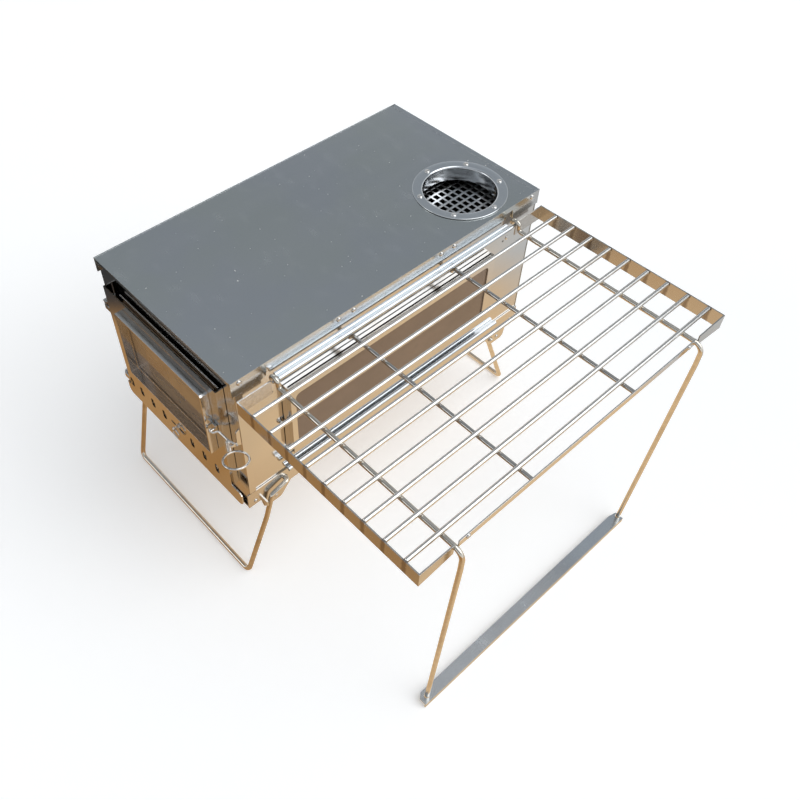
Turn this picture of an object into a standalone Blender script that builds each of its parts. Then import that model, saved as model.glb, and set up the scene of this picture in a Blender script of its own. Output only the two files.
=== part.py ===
"""Folding sheet-metal wood stove with a glass door, glass side windows, wire legs and a hook-on side rack.

Built in millimetres in the stove's own frame (x = 0 on the centre plane, y = 0 at the front edge of the
top plate, z = 0 on the ground, door facing -Y, rack on +X) and moved at the end so that the origin is the
bottom centre of the bounding box.  Blender units are metres.
"""

import math

import bmesh
import bpy
from mathutils import Matrix, Vector
from mathutils.geometry import tessellate_polygon

MM = 0.001
GAP = 0.3            # air left between neighbouring pieces
SHEET = 1.2          # sheet thickness

# --- driving dimensions, mm -------------------------------------------------------------------------
TOP = 285.0          # cooking surface above the ground
BODY_H = 175.0       # height of the sheet-metal body
BODY_HALF = 100.0    # half width of the body
BODY_LEN = 369.0     # depth of the body, front edge to back
FLOOR = TOP - BODY_H
HEM = 6.0            # width of the back panel's hem on the top

FLUE_X, FLUE_Y, FLUE_R = 50.0, 311.0, 35.5   # pipe socket: centre and inner radius
FLANGE_R, FLANGE_RIVET_R = 45.5, 40.5

RAIL_R = 2.3         # rolled rails on the sides
RAIL_X = (102.5, 107.6)
RAIL_Y = (41.0, 321.0)
UPPER_RAIL_Z = TOP - 17.2
LOWER_RAIL_Z = TOP - 141.0
LOWER_RAIL_X = (102.5, 109.4)
HANG_PIN_R = 1.5     # stubs at the ends of the outer upper rail that the rack hangs on

WIN_Y = (50.8, 305.0)
WIN_Z = (TOP - 127.0, TOP - 41.0)
WIN_OUT = 108.0      # outer face of the window frame
WIN_OPEN_Y = (56.4, 297.0)
WIN_OPEN_Z = (TOP - 119.0, TOP - 50.0)

DOOR_FACE = -5.0     # y of the door's outer face
DOOR_HALF = 84.0
DOOR_Z = (TOP - 150.0, TOP - 20.0)
SKIRT_X = (-90.5, 98.0)   # the door's wider lower strip
SKIRT_LOW = TOP - 169.0
HINGE = (-93.0, -1.5)
HINGE_Z = (TOP - 51.0, TOP - 146.0)   # middle of the upper and the lower door knuckle
COLLAR_X, COLLAR_Z, COLLAR_FRONT = (-57.0, 72.5), (TOP - 107.0, TOP - 28.5), -13.0
SLOT_X = (-79.5, -62.0, -42.5, -23.0, 23.0, 42.5, 62.0)
SLOT_Z, SLOT_W, SLOT_H = TOP - 146.5, 5.6, 12.0
KNOB_X, KNOB_Z = 0.0, TOP - 143.8

LEG_R = 2.5
FRONT_PIVOT, FRONT_KNEE = (43.0, TOP - 165.5), (23.4, TOP - 171.5)   # (y, z)
REAR_PIVOT = (331.0, FLOOR - 6.5)
FRONT_FOOT, REAR_FOOT = (-10.5, 97.0), (375.5, 92.0)    # foot bar y, half width

RACK_IN, RACK_OUT = 106.0, 307.8
RACK_TOP = TOP - 15.6
ROD_R, CROSS_R = 2.0, 2.2
ROD_Z = RACK_TOP - ROD_R
CROSS_Z = ROD_Z - ROD_R - CROSS_R - 0.15
STRIP_LOW, TAB_LOW, OUTER_LOW = TOP - 31.5, TOP - 27.0, RACK_TOP - 7.4
ROD_X = [125.0 + 21.0 * i for i in range(9)]
END_CROSS_Y = (37.0, 329.0)
MID_CROSS_Y = (120.0, 245.0)
RACK_ELBOW_X, RACK_FOOT_X = RACK_OUT + 6.5, 309.0
RACK_FOOT_Y = (31.0, 317.0)     # where the front and the rear leg stand in the foot channel

# --- scene ------------------------------------------------------------------------------------------
for old in list(bpy.data.objects):
    bpy.data.objects.remove(old)

PARTS = bpy.data.collections.new("folding_stove")
CUTTERS = bpy.data.collections.new("cutters")
CUTTERS.hide_render = True
for group in (PARTS, CUTTERS):
    bpy.context.scene.collection.children.link(group)

STEEL = ((0.60, 0.60, 0.59), 1.0, 0.22, 0.0)
DARK_STEEL = ((0.34, 0.33, 0.32), 1.0, 0.35, 0.0)
WIRE = ((0.66, 0.65, 0.63), 1.0, 0.18, 0.0)
GLASS = ((0.55, 0.48, 0.40), 0.0, 0.05, 0.9)


def finish(obj, look, pivot=None):
    """Give a part its own material, and put its origin on its joint axis where it has one."""
    material = bpy.data.materials.new(obj.name)
    material.use_nodes = True
    shader = material.node_tree.nodes["Principled BSDF"]
    colour, metallic, roughness, transmission = look
    shader.inputs["Base Color"].default_value = (*colour, 1.0)
    shader.inputs["Metallic"].default_value = metallic
    shader.inputs["Roughness"].default_value = roughness
    shader.inputs["Transmission Weight"].default_value = transmission
    obj.data.materials.append(material)
    if pivot is not None:
        shift = Vector(pivot) * MM
        obj.data.transform(Matrix.Translation(-shift))
        obj.location = shift
    return obj


def new_object(name, bm, cutter=False, smooth=False):
    """Link a bmesh, in millimetres, as an object in metres with its normals facing out."""
    bmesh.ops.remove_doubles(bm, verts=bm.verts, dist=1e-4)
    bmesh.ops.recalc_face_normals(bm, faces=bm.faces)
    bmesh.ops.scale(bm, vec=(MM, MM, MM), verts=bm.verts)
    mesh = bpy.data.meshes.new(name)
    bm.to_mesh(mesh)
    bm.free()
    if smooth:
        for face in mesh.polygons:
            face.use_smooth = True
    obj = bpy.data.objects.new(name, mesh)
    (CUTTERS if cutter else PARTS).objects.link(obj)
    if cutter:
        obj.hide_render = True
        obj.display_type = "WIRE"
    return obj


# --- shapes, each added to a bmesh in millimetres ---------------------------------------------------
def to_xyz(axis, u, v, w):
    """Point on a plane normal to the axis: (u, v) are the other two in X, Y, Z order, w is along it."""
    return {"X": (w, u, v), "Y": (u, w, v), "Z": (u, v, w)}[axis]


def add_prism(bm, axis, lo, hi, outer, holes=()):
    """Straight prism of a (u, v) outline, with holes only where no Boolean follows."""
    loops = [[Vector((u, v, 0.0)) for u, v in loop] for loop in (outer, *holes)]
    flat = [point for loop in loops for point in loop]
    ends = [[bm.verts.new(to_xyz(axis, p.x, p.y, w)) for p in flat] for w in (lo, hi)]
    for cap in (tessellate_polygon(loops) if holes else [range(len(flat))]):
        for end in ends:
            bm.faces.new([end[i] for i in cap])
    start = 0
    for loop in loops:
        n = len(loop)
        for i in range(n):
            a, b = start + i, start + (i + 1) % n
            bm.faces.new((ends[0][a], ends[0][b], ends[1][b], ends[1][a]))
        start += n
    return bm


def punch(axis, lo, hi, outlines):
    """Fill function holding one prism for each hole outline."""
    def fill(bm):
        for outline in outlines:
            add_prism(bm, axis, lo, hi, outline)
    return fill


def add_box(bm, x, y, z):
    return add_prism(bm, "Z", z[0], z[1], [(x[0], y[0]), (x[1], y[0]), (x[1], y[1]), (x[0], y[1])])


def circle(cu, cv, r, n=16, phase=0.5):
    return [(cu + r * math.cos(2 * math.pi * (i + phase) / n),
             cv + r * math.sin(2 * math.pi * (i + phase) / n))
            for i in range(n)]


def rounded_rect(u, v, r, n=3):
    """Rectangle outline with corner radius r."""
    corners = ((u[1] - r, v[1] - r, 0), (u[0] + r, v[1] - r, 90), (u[0] + r, v[0] + r, 180),
               (u[1] - r, v[0] + r, 270))
    return [(cu + r * math.cos(math.radians(start + 90 * k / n)),
             cv + r * math.sin(math.radians(start + 90 * k / n)))
            for cu, cv, start in corners for k in range(n + 1)]


def rounded(points, radius, steps=4):
    """The polyline with each inner corner replaced by an arc of that radius, or one radius per corner."""
    points = [Vector(p) for p in points]
    radii = radius if isinstance(radius, (list, tuple)) else [radius] * (len(points) - 2)
    path = [points[0]]
    for before, corner, after, r in zip(points, points[1:], points[2:], radii):
        a, b = (before - corner).normalized(), (after - corner).normalized()
        half = a.angle(b) / 2
        if r <= 0 or half > math.radians(89):
            path.append(corner)
            continue
        centre = corner + (a + b).normalized() * (r / math.sin(half))
        start, end = corner + a * (r / math.tan(half)) - centre, corner + b * (r / math.tan(half)) - centre
        sweep = start.angle(end)
        for k in range(steps + 1):
            t = k / steps
            path.append(centre + (start * math.sin((1 - t) * sweep)
                                  + end * math.sin(t * sweep)) / math.sin(sweep))
    return path + [points[-1]]


def add_wire(bm, path, r, sides=8, closed=False):
    """Round wire along a path, with flat ends, or a closed ring."""
    path = [Vector(p) for p in path]
    count = len(path)
    tangents = []
    for i in range(count):
        if closed:
            before, after = path[i - 1], path[(i + 1) % count]
        else:
            before, after = path[max(i - 1, 0)], path[min(i + 1, count - 1)]
        tangents.append(((path[i] - before).normalized() + (after - path[i]).normalized()).normalized()
                        if closed or 0 < i < count - 1 else (after - before).normalized())
    side = tangents[0].orthogonal().normalized()
    if abs(tangents[0].z) < 0.9:
        side = tangents[0].cross(Vector((0, 0, 1))).normalized()
    rings = []
    for i, (point, tangent) in enumerate(zip(path, tangents)):
        if i:
            side = tangents[i - 1].rotation_difference(tangent) @ side
        side = (side - tangent * side.dot(tangent)).normalized()
        other = tangent.cross(side)
        along = (path[(i + 1) % count] - point) if closed or i < count - 1 else (point - path[i - 1])
        bend = max(abs(tangent.dot(along.normalized())), 0.5)
        turn = (tangent - along.normalized() * tangent.dot(along.normalized()))
        turn = turn.normalized() if turn.length > 1e-4 else None
        ring = []
        for k in range(sides):
            angle = 2 * math.pi * (k + 0.5) / sides
            offset = side * (r * math.cos(angle)) + other * (r * math.sin(angle))
            if turn is not None and 0 < i < count - 1:
                across = (turn - tangent * turn.dot(tangent)).normalized()
                offset += across * (offset.dot(across) * (1 / bend - 1))
            ring.append(bm.verts.new(point + offset))
        rings.append(ring)
    spans = list(zip(rings, rings[1:])) + ([(rings[-1], rings[0])] if closed else [])
    for a, b in spans:
        for k in range(sides):
            bm.faces.new((a[k], a[(k + 1) % sides], b[(k + 1) % sides], b[k]))
    if not closed:
        bm.faces.new(list(reversed(rings[0])))
        bm.faces.new(rings[-1])
    return bm


def add_lathe(bm, profile, centre, n=32):
    """Closed (r, z) profile turned about a vertical axis; r must stay above zero."""
    rings = [[bm.verts.new((centre[0] + r * math.cos(2 * math.pi * k / n),
                            centre[1] + r * math.sin(2 * math.pi * k / n), z))
              for r, z in profile] for k in range(n)]
    for a, b in zip(rings, rings[1:] + rings[:1]):
        for i in range(len(profile)):
            j = (i + 1) % len(profile)
            bm.faces.new((a[i], a[j], b[j], b[i]))
    return bm


def add_rivet(bm, centre, normal, r=2.4, h=1.3, n=8):
    """Domed rivet head standing on a face, with its foot sunk 0.6 mm into it."""
    normal = Vector(normal).normalized()
    side = normal.orthogonal().normalized()
    other = normal.cross(side)
    rings = []
    for radius, height in ((r, -0.6), (r, 0.35 * h), (0.62 * r, 0.85 * h)):
        rings.append([bm.verts.new(Vector(centre) + normal * height
                                   + side * (radius * math.cos(2 * math.pi * k / n))
                                   + other * (radius * math.sin(2 * math.pi * k / n))) for k in range(n)])
    for a, b in zip(rings, rings[1:]):
        for k in range(n):
            bm.faces.new((a[k], a[(k + 1) % n], b[(k + 1) % n], b[k]))
    bm.faces.new(list(reversed(rings[0])))
    tip = bm.verts.new(Vector(centre) + normal * h)
    for k in range(n):
        bm.faces.new((rings[-1][k], rings[-1][(k + 1) % n], tip))
    return bm


def filler(add):
    """Turn an add_... function into one that returns a fill function for later use."""
    def make(*values, **options):
        return lambda bm: add(bm, *values, **options)
    return make


prism, box, wire = filler(add_prism), filler(add_box), filler(add_wire)
lathe, rivet = filler(add_lathe), filler(add_rivet)


def boolean(obj, operation, shapes):
    """Join or cut an object with several closed shapes, each a function that fills a bmesh."""
    for i, fill in enumerate(shapes):
        bm = bmesh.new()
        fill(bm)
        tool = new_object(f"{obj.name}_{operation.lower()}_{i}", bm, cutter=True)
        modifier = obj.modifiers.new(tool.name, "BOOLEAN")
        modifier.operation, modifier.solver, modifier.object = operation, "EXACT", tool
    return obj


def solid(name, fill, look, pivot=None, smooth=False, join=(), cut=()):
    bm = bmesh.new()
    fill(bm)
    obj = new_object(name, bm, smooth=smooth)
    boolean(obj, "UNION", join)
    boolean(obj, "DIFFERENCE", cut)
    if pivot is not None:
        freeze(obj)
    return finish(obj, look, pivot)


def freeze(obj):
    """Apply an object's Booleans, so that its origin can be moved."""
    if not obj.modifiers:
        return
    graph = bpy.context.evaluated_depsgraph_get()
    mesh = bpy.data.meshes.new_from_object(obj.evaluated_get(graph))
    tools = [modifier.object for modifier in obj.modifiers]
    obj.modifiers.clear()
    obj.data = mesh
    for tool in tools:
        bpy.data.objects.remove(tool)


def both(side, low, high):
    """An x range mirrored to the given side."""
    return (low, high) if side > 0 else (-high, -low)


# --- body -------------------------------------------------------------------------------------------
def flange_outline(low_end, low_middle):
    """Side flange of the top plate, in (y, z): deep at both ends, notched, and shallow along the rail."""
    notch = TOP - 5.5
    return [(0.0, TOP), (0.0, low_end), (34.0, low_end), (35.5, notch), (40.0, notch), (42.5, low_middle),
            (319.5, low_middle), (322.0, notch), (331.5, notch), (333.0, low_end),
            (BODY_LEN, low_end), (BODY_LEN, TOP)]


def top_plate():
    """Cooking plate with folded side flanges, its rivets and the flue hole."""
    def flanges(bm):
        for side in (-1, 1):
            add_prism(bm, "X", *both(side, BODY_HALF - SHEET, BODY_HALF),
                      flange_outline(TOP - 16.0, TOP - 11.5))

    def rivets(bm):
        for side in (-1, 1):
            for y in (8.6, 112.6, 129.4, 235.0, 251.5, 358.5):
                add_rivet(bm, (side * BODY_HALF, y, TOP - 4.2), (side, 0, 0))

    half, back = BODY_HALF - 0.5, BODY_LEN - HEM
    outline = [(-half, 0.2), (half, 0.2), (half, back), (-half, back)]
    lip = box((-half + 2, half - 2), (0.1, SHEET + 0.1), (TOP - 4.0, TOP - 0.3))
    return solid("top_plate", prism("Z", TOP - SHEET, TOP - 0.1, outline), STEEL,
                 join=[flanges, lip, rivets],
                 cut=[punch("Z", TOP - 5, TOP + 5, [circle(FLUE_X, FLUE_Y, FLUE_R + 1.9, 32)])])


def tray_side():
    """Side flange of the tray with its two leg tabs, as one (y, z) outline."""
    tab = [(14.0, FLOOR), (16.5, FLOOR - 13.0), (20.0, FLOOR - 15.5), (36.0, FLOOR - 15.5),
           (39.0, FLOOR - 13.0), (49.5, FLOOR)]
    low = [(0.0, FLOOR), *tab, *[(BODY_LEN - y, z) for y, z in reversed(tab)], (BODY_LEN, FLOOR)]
    return [*low, (BODY_LEN, FLOOR + 19.6), (0.0, FLOOR + 19.6)]


def base_tray():
    """Tray floor with a folded flange on each side, leg tabs, wire stops and rivets."""
    leg_holes = [circle(*pivot, LEG_R + 0.45, 12) for pivot in (FRONT_PIVOT, REAR_PIVOT)]
    front_stop, rear_stop = (15.8, 17.5), (337.9, 339.4)

    def flanges(bm):
        for side in (-1, 1):
            add_prism(bm, "X", *both(side, BODY_HALF - SHEET, BODY_HALF), tray_side())

    def stops(bm):
        for side in (-1, 1):
            add_box(bm, both(side, BODY_HALF - 0.8, BODY_HALF + 6.0), front_stop,
                    (FLOOR - 6.0, FLOOR + 1.0))
            add_box(bm, both(side, BODY_HALF - 7.5, BODY_HALF - 0.6), rear_stop,
                    (FLOOR - 15.0, FLOOR - 11.0))

    def rivets(bm):
        for side in (-1, 1):
            for y, z in ((8.0, 5.0), (31.0, -9.0), (342.0, -9.0), (361.0, 5.0)):
                add_rivet(bm, (side * BODY_HALF, y, FLOOR + z), (side, 0, 0), r=2.0, h=1.1)

    inner = BODY_HALF - 0.5
    return solid("base_tray", box((-inner, inner), (0.2, BODY_LEN - 0.2), (FLOOR + 0.1, FLOOR + SHEET)),
                 STEEL, join=[flanges, stops, rivets],
                 cut=[punch("X", -BODY_HALF - 5, BODY_HALF + 5, leg_holes)])


def side_wall(name, side):
    x = both(side, BODY_HALF - 2 * SHEET - GAP, BODY_HALF - SHEET - GAP)
    outline = [(4.5, FLOOR + 1.6), (366.9, FLOOR + 1.6), (366.9, TOP - 1.6), (4.5, TOP - 1.6)]
    holes = [rounded_rect((60.0, 293.0), (WIN_OPEN_Z[0] + 4, WIN_OPEN_Z[1] - 5), 5.0)]
    holes.append(circle(*FRONT_PIVOT, LEG_R + 0.9, 12))
    holes += [circle(y, TOP - 41.0, 1.2, 8) for y in (39.5, 325.8)]
    out = BODY_HALF - SHEET - GAP
    rivets = [rivet((side * out, y, z), (side, 0, 0), r=2.0, h=1.2)
              for y, z in ((35.0, TOP - 31.5), (324.0, TOP - 29.0), (331.0, TOP - 39.5))]
    return solid(name, prism("X", *x, outline), STEEL, join=rivets,
                 cut=[punch("X", *both(side, BODY_HALF - 10, BODY_HALF + 5), holes)])


def back_wall():
    half = BODY_HALF - SHEET - GAP
    hem = box((-half, half), (BODY_LEN - HEM + GAP, BODY_LEN), (TOP - SHEET, TOP))
    rivets = [rivet((x, BODY_LEN, TOP - 3.6), (0, 1, 0)) for x in (-68.0, 70.0)]
    return solid("back_wall", box((-half, half), (BODY_LEN - SHEET, BODY_LEN), (FLOOR + 1.6, TOP - 0.4)),
                 STEEL, join=[hem, *rivets])


def front_frame():
    """Fixed frame behind the door: doorway, air inlet, side flanges and the fixed hinge knuckles."""
    half = BODY_HALF - SHEET - GAP
    outline = [(-half, FLOOR + 1.6), (half, FLOOR + 1.6), (half, TOP - 1.6), (-half, TOP - 1.6)]
    openings = [rounded_rect((-77.0, 77.0), (TOP - 138.0, TOP - 27.0), 4.0),
                rounded_rect((-80.0, 80.0), (TOP - 158.0, TOP - 141.5), 3.0)]
    lug_z = [HINGE_Z[0] + 3.3, HINGE_Z[1] - 5.7]

    def flanges(bm):
        for side in (-1, 1):
            corner = [(half - 0.4, 3.1), (BODY_HALF, 3.1), (BODY_HALF, 10.0), (BODY_HALF - SHEET, 10.0),
                      (BODY_HALF - SHEET, 4.1), (half - 0.4, 4.1)]
            add_prism(bm, "Z", FLOOR + 20.0, TOP - 16.4, [(side * x, y) for x, y in corner])

    def lugs(bm):
        for z in lug_z:
            add_box(bm, (HINGE[0] - 2.6, HINGE[0] + 2.6), (-4.0, 3.6), (z, z + 2.4))

    return solid("front_frame", prism("Y", 3.0, 3.0 + SHEET, outline), STEEL, join=[flanges, lugs],
                 cut=[punch("Y", -20.0, 20.0, openings),
                      punch("Z", lug_z[1] - 5, lug_z[0] + 5, [circle(*HINGE, 1.5, 12)])])


def flue_collar():
    inner, wall = FLUE_R, FLUE_R + 1.2
    profile = [(inner, TOP - 14.0), (wall, TOP - 14.0), (wall, TOP + GAP), (FLANGE_R, TOP + GAP),
               (FLANGE_R, TOP + 1.3), (inner, TOP + 1.3)]
    rivets = []
    for k in range(6):
        angle = math.radians(5 + 60 * k)
        spot = (FLUE_X + FLANGE_RIVET_R * math.cos(angle), FLUE_Y + FLANGE_RIVET_R * math.sin(angle),
                TOP + 1.3)
        rivets.append(rivet(spot, (0, 0, 1), r=2.5, h=1.5))
    return solid("flue_collar", lathe(profile, (FLUE_X, FLUE_Y), 36), STEEL, join=rivets)


def spark_screen():
    """Perforated plate hung under the flue hole on two folded sides."""
    x, y, z = (-8.0, 92.0), (262.0, 358.0), TOP - 21.0
    pitch_x, pitch_y, hole_x, hole_y = 8.5, 7.3, 6.2, 5.2
    holes = []
    for i in range(11):
        for j in range(12):
            cx, cy = x[0] + 8.0 + pitch_x * i, y[0] + 8.0 + pitch_y * j
            holes.append([(cx - hole_x / 2, cy - hole_y / 2), (cx + hole_x / 2, cy - hole_y / 2),
                          (cx + hole_x / 2, cy + hole_y / 2), (cx - hole_x / 2, cy + hole_y / 2)])
    outline = [(x[0], y[0]), (x[1], y[0]), (x[1], y[1]), (x[0], y[1])]
    sides = [box(x, q, (z, TOP - SHEET - GAP)) for q in ((y[0], y[0] + 1.0), (y[1] - 1.0, y[1]))]
    return solid("spark_screen", prism("Z", z, z + 1.0, outline), DARK_STEEL, join=sides,
                 cut=[punch("Z", z - 5, z + 5, holes)])


def fire_grate():
    """Slotted plate standing on its folded sides, above the air slots."""
    x, y, z = (-88.0, 88.0), (18.0, 352.0), FLOOR + 17.0
    slots = [rounded_rect((cx - 27.0, cx + 27.0), (cy - 3.0, cy + 3.0), 2.9, 2)
             for cx in (-42.0, 42.0) for cy in [40.0 + 26.0 * k for k in range(12)]]
    outline = [(x[0], y[0]), (x[1], y[0]), (x[1], y[1]), (x[0], y[1])]
    sides = [box(q, y, (FLOOR + SHEET + GAP, z + 1.0)) for q in ((x[0], x[0] + 1.2), (x[1] - 1.2, x[1]))]
    return solid("fire_grate", prism("Z", z, z + 1.4, outline), DARK_STEEL, join=sides,
                 cut=[punch("Z", z - 5, z + 5, slots)])


# --- side windows and rails -------------------------------------------------------------------------
def window(prefix, side):
    """Box frame standing proud of the wall, with a narrow slot along its top and a pane inside it."""
    back = BODY_HALF - SHEET
    cuts = [
        box(both(side, 90.0, WIN_OUT - SHEET), (WIN_Y[0] + SHEET, WIN_Y[1] - SHEET),
            (WIN_Z[0] + SHEET, WIN_Z[1] - 4.5)),
        box(both(side, WIN_OUT - 5.8, WIN_OUT - 4.2), (WIN_Y[0] + SHEET, WIN_Y[1] - SHEET),
            (WIN_Z[1] - 9.0, WIN_Z[1] + 9.0)),
        prism("X", *both(side, 100.0, 120.0), rounded_rect(WIN_OPEN_Y, WIN_OPEN_Z, 5.0)),
    ]
    flange = box(both(side, back + 0.4, back + 1.4), (WIN_Y[0] - 2.4, WIN_Y[1] + 2.4),
                 (WIN_Z[0] + 6, WIN_Z[1] - 6))
    solid(prefix + "_window_frame", box(both(side, back + GAP, WIN_OUT), WIN_Y, WIN_Z), STEEL,
          join=[flange], cut=cuts)
    solid(prefix + "_window_glass", box(both(side, 103.4, 106.5), (WIN_Y[0] + 1.6, WIN_Y[1] - 1.6),
                                                       (WIN_Z[0] + 1.6, WIN_Z[1] - 4.9)), GLASS)
    for place, y, inward in (("front", 45.4, 1), ("rear", 310.4, -1)):
        z = TOP - 86.0
        tongue = rounded_rect(sorted((y - 2.6 * inward, y + 5.0 * inward)), (z - 2.6, z + 2.6), 2.5, 3)
        stem = prism("X", *both(side, back + 0.1, back + 2.6), circle(y, z, 1.9, 10))
        head = rivet((side * (back + 2.9), y, z), (side, 0, 0), r=2.2, h=1.6)
        solid(f"{prefix}_window_button_{place}", prism("X", *both(side, back + 1.7, back + 2.9), tongue),
              STEEL, pivot=(side * back, y, z), join=[stem, head])


def rail_profile(xs, z, bridge):
    """Two round rolls joined by a thin web, as one outline in (x, z)."""
    outline = []
    for centre, start in ((xs[0], 0.0), (xs[1], math.pi)):
        for k in range(11):
            angle = start + bridge + (2 * math.pi - 2 * bridge) * k / 10
            outline.append((centre + RAIL_R * math.cos(angle), z + RAIL_R * math.sin(angle)))
    return outline


def rails(prefix, side):
    upper = [(side * x, z) for x, z in rail_profile(RAIL_X, UPPER_RAIL_Z, 0.35)]
    lower = [(side * x, z) for x, z in rail_profile(LOWER_RAIL_X, LOWER_RAIL_Z, 0.3)]
    pins = []
    for y in ((34.5, RAIL_Y[0] + 3.0), (RAIL_Y[1] - 3.0, 331.5)):
        pins.append(prism("Y", *y, circle(side * RAIL_X[1], UPPER_RAIL_Z, HANG_PIN_R, 10)))
    solid(prefix + "_upper_rail", prism("Y", *RAIL_Y, upper), WIRE, join=pins)
    solid(prefix + "_lower_rail", prism("Y", *RAIL_Y, lower), WIRE)


# --- door -------------------------------------------------------------------------------------------
def door():
    hinge = (*HINGE, 0.0)
    r = 6.0
    turns = [math.pi / 2, math.pi / 3, math.pi / 6, 0.0]
    lower_left = [(SKIRT_X[0] + r - r * math.sin(a), SKIRT_LOW + r - r * math.cos(a)) for a in turns]
    lower_right = [(SKIRT_X[1] - r + r * math.sin(a), SKIRT_LOW + r - r * math.cos(a))
                   for a in reversed(turns)]
    low = DOOR_Z[0]
    outline = [*lower_left, *lower_right, (SKIRT_X[1], low - 3.0), (SKIRT_X[1] - 3.0, low - 0.6),
               (DOOR_HALF, low - 0.6), (DOOR_HALF, DOOR_Z[1]), (-DOOR_HALF, DOOR_Z[1]),
               (-DOOR_HALF, low - 3.6), (SKIRT_X[0], low - 3.6)]
    opening = rounded_rect((COLLAR_X[0] + 2.0, COLLAR_X[1] - 2.0), (COLLAR_Z[0] + 2.0, COLLAR_Z[1] - 2.0),
                           2.0)
    slots = [rounded_rect((x - SLOT_W / 2, x + SLOT_W / 2), (SLOT_Z - SLOT_H / 2, SLOT_Z + SLOT_H / 2),
                          2.0, 2) for x in SLOT_X]
    guide = rounded_rect((KNOB_X - 11.0, KNOB_X + 11.0), (KNOB_Z - 1.6, KNOB_Z + 1.6), 1.5, 2)
    y = (DOOR_FACE, DOOR_FACE + SHEET)
    shapes = [box(both(side, DOOR_HALF - SHEET, DOOR_HALF), (DOOR_FACE, 2.6), (low - 0.6, DOOR_Z[1]))
              for side in (-1, 1)]
    for z in HINGE_Z:
        shapes.append(prism("Z", z - 2.8, z + 2.8, circle(*HINGE, 2.9, 12)))
        shapes.append(box((HINGE[0] + 0.2, -DOOR_HALF + 0.9), (y[0] + 0.1, y[1]), (z - 2.6, z + 2.6)))
    solid("door_panel", prism("Y", *y, outline), STEEL, pivot=hinge, join=shapes,
          cut=[punch("Y", -20.0, y[1] + 0.2, [opening, *slots, guide]),
               punch("Z", low - 5, DOOR_Z[1] + 5, [circle(*HINGE, 1.5, 12)])])

    collar = rounded_rect(COLLAR_X, COLLAR_Z, 1.5, 1)
    bore = rounded_rect((COLLAR_X[0] + 1.6, COLLAR_X[1] - 1.6), (COLLAR_Z[0] + 1.6, COLLAR_Z[1] - 1.6),
                        1.0, 1)
    solid("door_window_collar", prism("Y", COLLAR_FRONT, DOOR_FACE - GAP, collar, [bore]), STEEL,
          pivot=hinge)

    pane_x, pane_z = (COLLAR_X[0] - 3.0, COLLAR_X[1] + 3.0), (COLLAR_Z[0] - 3.0, COLLAR_Z[1] + 3.0)
    solid("door_glass", box(pane_x, (DOOR_FACE + SHEET + GAP, -0.5), pane_z), GLASS, pivot=hinge)
    ring = [(pane_x[0] - 5, pane_z[0] - 5), (pane_x[1] + 5, pane_z[0] - 5),
            (pane_x[1] + 5, pane_z[1] + 5), (pane_x[0] - 5, pane_z[1] + 5)]
    hole = rounded_rect((COLLAR_X[0] + 3, COLLAR_X[1] - 3), (COLLAR_Z[0] + 3, COLLAR_Z[1] - 3), 2.0, 2)
    solid("door_glass_retainer", prism("Y", -0.2, 0.8, ring, [hole]), STEEL, pivot=hinge)

    for place, z in (("upper", (HINGE_Z[0] - 4.0, HINGE_Z[0] + 7.0)),
                     ("lower", (HINGE_Z[1] - 7.0, HINGE_Z[1] + 4.0))):
        solid(f"door_hinge_pin_{place}", prism("Z", *z, circle(*HINGE, 1.2, 12)), WIRE)


def air_control():
    """Slotted strip behind the door's air slots, its stud and the ring that hangs on the stud."""
    behind = (DOOR_FACE + SHEET + GAP, DOOR_FACE + SHEET + GAP + 1.0)
    strip = [(-75.0, SLOT_Z - 8.0), (70.0, SLOT_Z - 8.0), (70.0, SLOT_Z + 11.5), (-75.0, SLOT_Z + 11.5)]
    slots = [rounded_rect((x - 3.0, x + 3.0), (SLOT_Z - 5.5, SLOT_Z + 5.5), 2.0, 2) for x in SLOT_X[1:]]
    solid("air_slider", prism("Y", *behind, strip), STEEL, cut=[punch("Y", -20.0, 20.0, slots)])
    eye_y = DOOR_FACE - 3.6
    stem = prism("Y", eye_y + 1.9, behind[0] - 0.15, circle(KNOB_X, KNOB_Z, 1.2, 10))
    solid("air_slider_stud", prism("X", KNOB_X - 1.2, KNOB_X + 1.2, circle(eye_y, KNOB_Z, 2.7, 12)),
          WIRE, join=[stem], cut=[punch("X", KNOB_X - 5, KNOB_X + 5, [circle(eye_y, KNOB_Z, 1.1, 10)])])
    radius = 6.2
    path = [(KNOB_X + radius * math.sin(a), eye_y, KNOB_Z - radius + radius * math.cos(a))
            for a in [2 * math.pi * k / 24 for k in range(24)]]
    solid("air_slider_ring", wire(path, 0.65, 6, closed=True), WIRE, pivot=(KNOB_X, eye_y, KNOB_Z),
          smooth=True)


LATCH_Y, LATCH_PIVOT = -11.4, (75.8, TOP - 71.5)


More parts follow.
